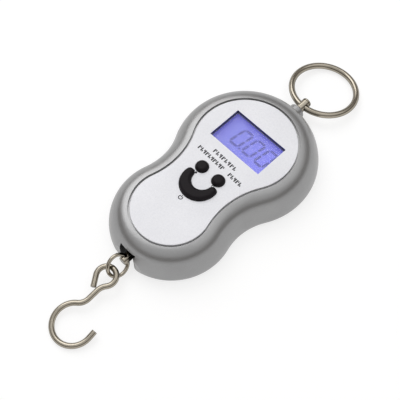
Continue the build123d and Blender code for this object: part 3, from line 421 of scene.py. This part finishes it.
def make_materials():
    """One material for each slot of the record, by the slot's name."""
    return {
        "silver_paint": silver_paint(),
        "plate_silver": plate_silver(),
        "clear": clear("clear", (0.80, 0.82, 1.0), 0.10),
        "lcd": lcd_blue(),
        "backlight": moulded("backlight", (0.62, 0.66, 0.95), 0.3),
        "black_plastic": moulded("black_plastic", (0.005, 0.005, 0.005), 0.7, 0.2, 0.15),
        "key_black": key_black(),
        "rubber": striped("rubber", (0.08, 0.08, 0.085), (0.45, 0.30, 0.36), 0.3 * MM),
        "board": circuit_green(),
        "chip": moulded("chip", (0.02, 0.02, 0.022), 0.55, 0.2),
        "lead": moulded("lead", (0.45, 0.02, 0.02), 0.45),
        "nickel": nickel("nickel", (0.37, 0.335, 0.275), 0.15),
        "steel": nickel("steel", (0.56, 0.56, 0.57), 0.30),
        "cell_alloy": milled("cell_alloy", (0.72, 0.73, 0.75), 0.34),
        "gauge": moulded("gauge", (0.60, 0.33, 0.08), 0.35),
        "contact": milled("contact", (0.66, 0.63, 0.57), 0.28),
        "battery": battery_wrap(),
        "nylon": moulded("nylon", (0.80, 0.78, 0.72), 0.5),
    }


def dress_nodes(materials):
    """Gives every CAD node its slot's material."""
    for subpart in frame["record"]["subparts"]:
        node = nodes[subpart["node"]]
        node.data.materials.clear()
        node.data.materials.append(materials[subpart["material_slot"]])


# ---------------------------------------------------------------- printed and displayed marks


def new_piece(name, mesh_maker, material, body):
    """Object from a bmesh function, riding on a body."""
    mesh = bpy.data.meshes.new(name)
    shape = bmesh.new()
    mesh_maker(shape)
    bmesh.ops.recalc_face_normals(shape, faces=shape.faces)
    shape.to_mesh(mesh)
    shape.free()
    piece = bpy.data.objects.new(name, mesh)
    bpy.context.scene.collection.objects.link(piece)
    mesh.materials.append(material)
    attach(piece, body)
    return piece


def add_tile(shape, outline, base):
    """Thin prism over a flat outline of (x, y) points."""
    lower = [shape.verts.new((x, y, base)) for x, y in outline]
    upper = [shape.verts.new((x, y, base + INK_HEIGHT)) for x, y in outline]
    shape.faces.new(lower[::-1])
    shape.faces.new(upper)
    count = len(outline)
    for index in range(count):
        following = (index + 1) % count
        shape.faces.new((lower[index], lower[following], upper[following], upper[index]))


def turned(points, centre, angle):
    """Points turned about their origin and moved to a centre."""
    c, s = cos(angle), sin(angle)
    return [(centre[0] + c * x - s * y, centre[1] + s * x + c * y) for x, y in points]


def bar_outline(width, height):
    """Upright bar with clipped corners."""
    cut = 0.3 * min(width, height)
    x, y = width / 2, height / 2
    lower = [(-x + cut, -y), (x - cut, -y), (x, -y + cut)]
    upper = [(x, y - cut), (x - cut, y), (-x + cut, y)]
    return lower + upper + [(-x, y - cut), (-x, -y + cut)]


def print_rows(shape):
    """Two rows of plain strokes where the front carries its printed lines."""
    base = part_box("faceplate")[1].z
    turn = radians(PRINT_TURN)
    for centre_x, centre_y, pitch, groups in PRINT_ROWS:
        slots = sum(groups) + PRINT_GAP * (len(groups) - 1)
        places = []
        slot = 0
        for group in groups:
            places += [slot + index for index in range(group)]
            slot += group + PRINT_GAP
        for place in places:
            along = (place - (slots - 1) / 2) * pitch
            for x, y, width, height in STROKES[place % len(STROKES)]:
                tile = [((px + x + along) * MM, (py + y) * MM) for px, py in bar_outline(width, height)]
                add_tile(shape, turned(tile, (centre_x * MM, centre_y * MM), turn), base)


def ring_tiles(shape, centre, radius, width, start, end, base, steps):
    """Arc of a printed ring between two angles in degrees."""
    for index in range(steps):
        a = radians(start + (end - start) * index / steps)
        b = radians(start + (end - start) * (index + 1) / steps)
        inner, outer = radius - width / 2, radius + width / 2
        add_tile(
            shape,
            [
                (centre[0] + r * cos(t), centre[1] + r * sin(t))
                for r, t in ((inner, a), (outer, a), (outer, b), (inner, b))
            ],
            base,
        )


def printed_ring(shape, centre, ring, sweep, base, steps):
    """Part of a printed ring, from sizes in millimetres."""
    radius, width = ring
    place = (centre[0] * MM, centre[1] * MM)
    ring_tiles(shape, place, radius * MM, width * MM, *sweep, base, steps)


def key_marks(shape):
    """Plain marks by the keys: two dots, an open arc, and a standby ring."""
    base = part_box("faceplate")[1].z
    for offset in (-DOTS_SPREAD, DOTS_SPREAD):
        centre = (DOTS_CENTRE[0] + offset, DOTS_CENTRE[1])
        printed_ring(shape, centre, DOT_RING, (0, 360), base, 12)
    printed_ring(shape, ARC_CENTRE, ARC_RING, ARC_SWEEP, base, 20)
    printed_ring(shape, POWER_CENTRE, POWER_RING, POWER_SWEEP, base, 24)
    bar = [(x * MM, y * MM) for x, y in bar_outline(*POWER_BAR)]
    add_tile(shape, turned(bar, (POWER_CENTRE[0] * MM, (POWER_CENTRE[1] + POWER_BAR_RISE) * MM), 0), base)


def segment(shape, start, end, place, base):
    """One slanted display segment between two points of a digit."""
    start, end = Vector(start), Vector(end)
    along = (end - start).normalized()
    side = Vector((-along.y, along.x)) * SEGMENT_WIDTH / 2
    start = start + along * SEGMENT_GAP
    end = end - along * SEGMENT_GAP
    tip = along * SEGMENT_WIDTH / 2
    points = [start, start + tip + side, end - tip + side, end, end - tip - side, start + tip - side]
    slanted = [(place[0] + p.x + DIGIT_SLANT * p.y, place[1] + p.y) for p in points]
    add_tile(shape, slanted, base)


def display_digits(shape):
    """The reading 0.00 at the right of the display."""
    low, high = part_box("display_lens")
    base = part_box("lcd_glass")[1].z
    centre_x = (low.x + high.x) / 2
    centre_y = (low.y + high.y) / 2
    w, h = DIGIT_WIDTH / 2, DIGIT_HEIGHT / 2
    strokes = (
        ((-w, h), (w, h)),
        ((w, h), (w, 0)),
        ((w, 0), (w, -h)),
        ((w, -h), (-w, -h)),
        ((-w, -h), (-w, 0)),
        ((-w, 0), (-w, h)),
    )
    for index in range(DIGIT_COUNT):
        place = (centre_x + DIGIT_OFFSET + index * DIGIT_PITCH, centre_y + DIGIT_LIFT)
        for start, end in strokes:
            segment(shape, start, end, place, base)
    dot = (centre_x + DIGIT_OFFSET + DIGIT_PITCH / 2 - DIGIT_SLANT * h, centre_y + DIGIT_LIFT - h)
    add_tile(shape, turned(bar_outline(POINT_SIZE, POINT_SIZE), dot, 0), base)


# ---------------------------------------------------------------- studio


def set_camera():
    """Camera at the reference view."""
    azimuth, elevation, roll = (radians(a) for a in (CAMERA_AZIMUTH, CAMERA_ELEVATION, CAMERA_ROLL))
    back = Vector((sin(azimuth) * cos(elevation), -cos(azimuth) * cos(elevation), sin(elevation)))
    right = (-back).cross(Vector((0, 0, 1))).normalized()
    up = right.cross(-back)
    right_rolled = right * cos(roll) + up * sin(roll)
    up_rolled = up * cos(roll) - right * sin(roll)
    camera = bpy.data.objects.new("camera", bpy.data.cameras.new("camera"))
    bpy.context.scene.collection.objects.link(camera)
    place = CAMERA_TARGET + back * CAMERA_DISTANCE
    turn = Matrix((right_rolled, up_rolled, back)).transposed().to_4x4()
    camera.matrix_world = Matrix.Translation(place) @ turn
    camera.data.angle = radians(CAMERA_FIELD)
    camera.data.clip_start = 10 * MM
    bpy.context.scene.camera = camera


def seen_rays(tree):
    """1 for camera, glossy and transmission rays."""
    path = tree.nodes.new("ShaderNodeLightPath")
    total = path.outputs["Is Camera Ray"]
    for name in ("Is Glossy Ray", "Is Transmission Ray"):
        add = tree.nodes.new("ShaderNodeMath")
        add.operation = "MAXIMUM"
        tree.links.new(total, add.inputs[0])
        tree.links.new(path.outputs[name], add.inputs[1])
        total = add.outputs[0]
    return total


def make_floor():
    """Large pale floor whose seen colour is lifted to white and keeps the shadow."""
    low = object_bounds()[0]
    bpy.ops.mesh.primitive_plane_add(size=FLOOR_SIZE, location=(0, 0, min(0.0, low[2])))
    floor = bpy.context.object
    floor.name = "floor"
    material = bpy.data.materials.new("floor")
    material.use_nodes = True
    tree = material.node_tree
    tree.nodes.clear()
    diffuse = tree.nodes.new("ShaderNodeBsdfDiffuse")
    diffuse.inputs["Color"].default_value = (FLOOR_ALBEDO, FLOOR_ALBEDO, FLOOR_ALBEDO, 1)
    glow = tree.nodes.new("ShaderNodeEmission")
    glow.inputs["Color"].default_value = (1, 1, 1, 1)
    glow.inputs["Strength"].default_value = FLOOR_GLOW
    share = tree.nodes.new("ShaderNodeMath")
    share.operation = "MULTIPLY"
    share.inputs[1].default_value = FLOOR_LIFT
    tree.links.new(seen_rays(tree), share.inputs[0])
    mix = tree.nodes.new("ShaderNodeMixShader")
    output = tree.nodes.new("ShaderNodeOutputMaterial")
    tree.links.new(share.outputs[0], mix.inputs[0])
    tree.links.new(diffuse.outputs[0], mix.inputs[1])
    tree.links.new(glow.outputs[0], mix.inputs[2])
    tree.links.new(mix.outputs[0], output.inputs["Surface"])
    floor.data.materials.append(material)


def make_world():
    """Room light by height: a white backdrop, darker walls above it, and a bright ceiling."""
    world = bpy.data.worlds.new("room")
    bpy.context.scene.world = world
    world.use_nodes = True
    tree = world.node_tree
    background = tree.nodes["Background"]
    coords = tree.nodes.new("ShaderNodeTexCoord")
    split = tree.nodes.new("ShaderNodeSeparateXYZ")
    tree.links.new(coords.outputs["Generated"], split.inputs[0])
    ramp = tree.nodes.new("ShaderNodeValToRGB")
    tree.links.new(split.outputs["Z"], ramp.inputs["Fac"])
    elements = ramp.color_ramp.elements
    for index, (position, colour) in enumerate(ROOM_STOPS):
        element = elements[index] if index < 2 else elements.new(position)
        element.position = position
        element.color = (*colour, 1)
    tree.links.new(ramp.outputs["Color"], background.inputs["Color"])
    background.inputs["Strength"].default_value = 1.0


def add_softbox(name, place, size, power):
    """White area lamp aimed at the part."""
    data = bpy.data.lights.new(name, "AREA")
    data.shape = "RECTANGLE"
    data.size, data.size_y = size
    data.energy = power
    lamp = bpy.data.objects.new(name, data)
    bpy.context.scene.collection.objects.link(lamp)
    place = Vector(place)
    lamp.matrix_world = Matrix.Translation(place) @ place.to_track_quat("Z", "Y").to_matrix().to_4x4()


materials = make_materials()
dress_nodes(materials)
ink = moulded("print_ink", (0.010, 0.010, 0.014), 0.6, 0.3, 0.2)
segment_ink = moulded("segment_ink", (0.075, 0.075, 0.50), 0.4, 0.15, 0.2)
new_piece("printed_rows", print_rows, ink, "housing")
new_piece("key_marks", key_marks, ink, "housing")
new_piece("display_digits", display_digits, segment_ink, "housing")
set_camera()
make_floor()
make_world()
add_softbox("key_light", KEY_PLACE, KEY_SIZE, KEY_POWER)
add_softbox("fill_light", FILL_PLACE, FILL_SIZE, FILL_POWER)
bpy.context.scene.view_settings.view_transform = "Standard"
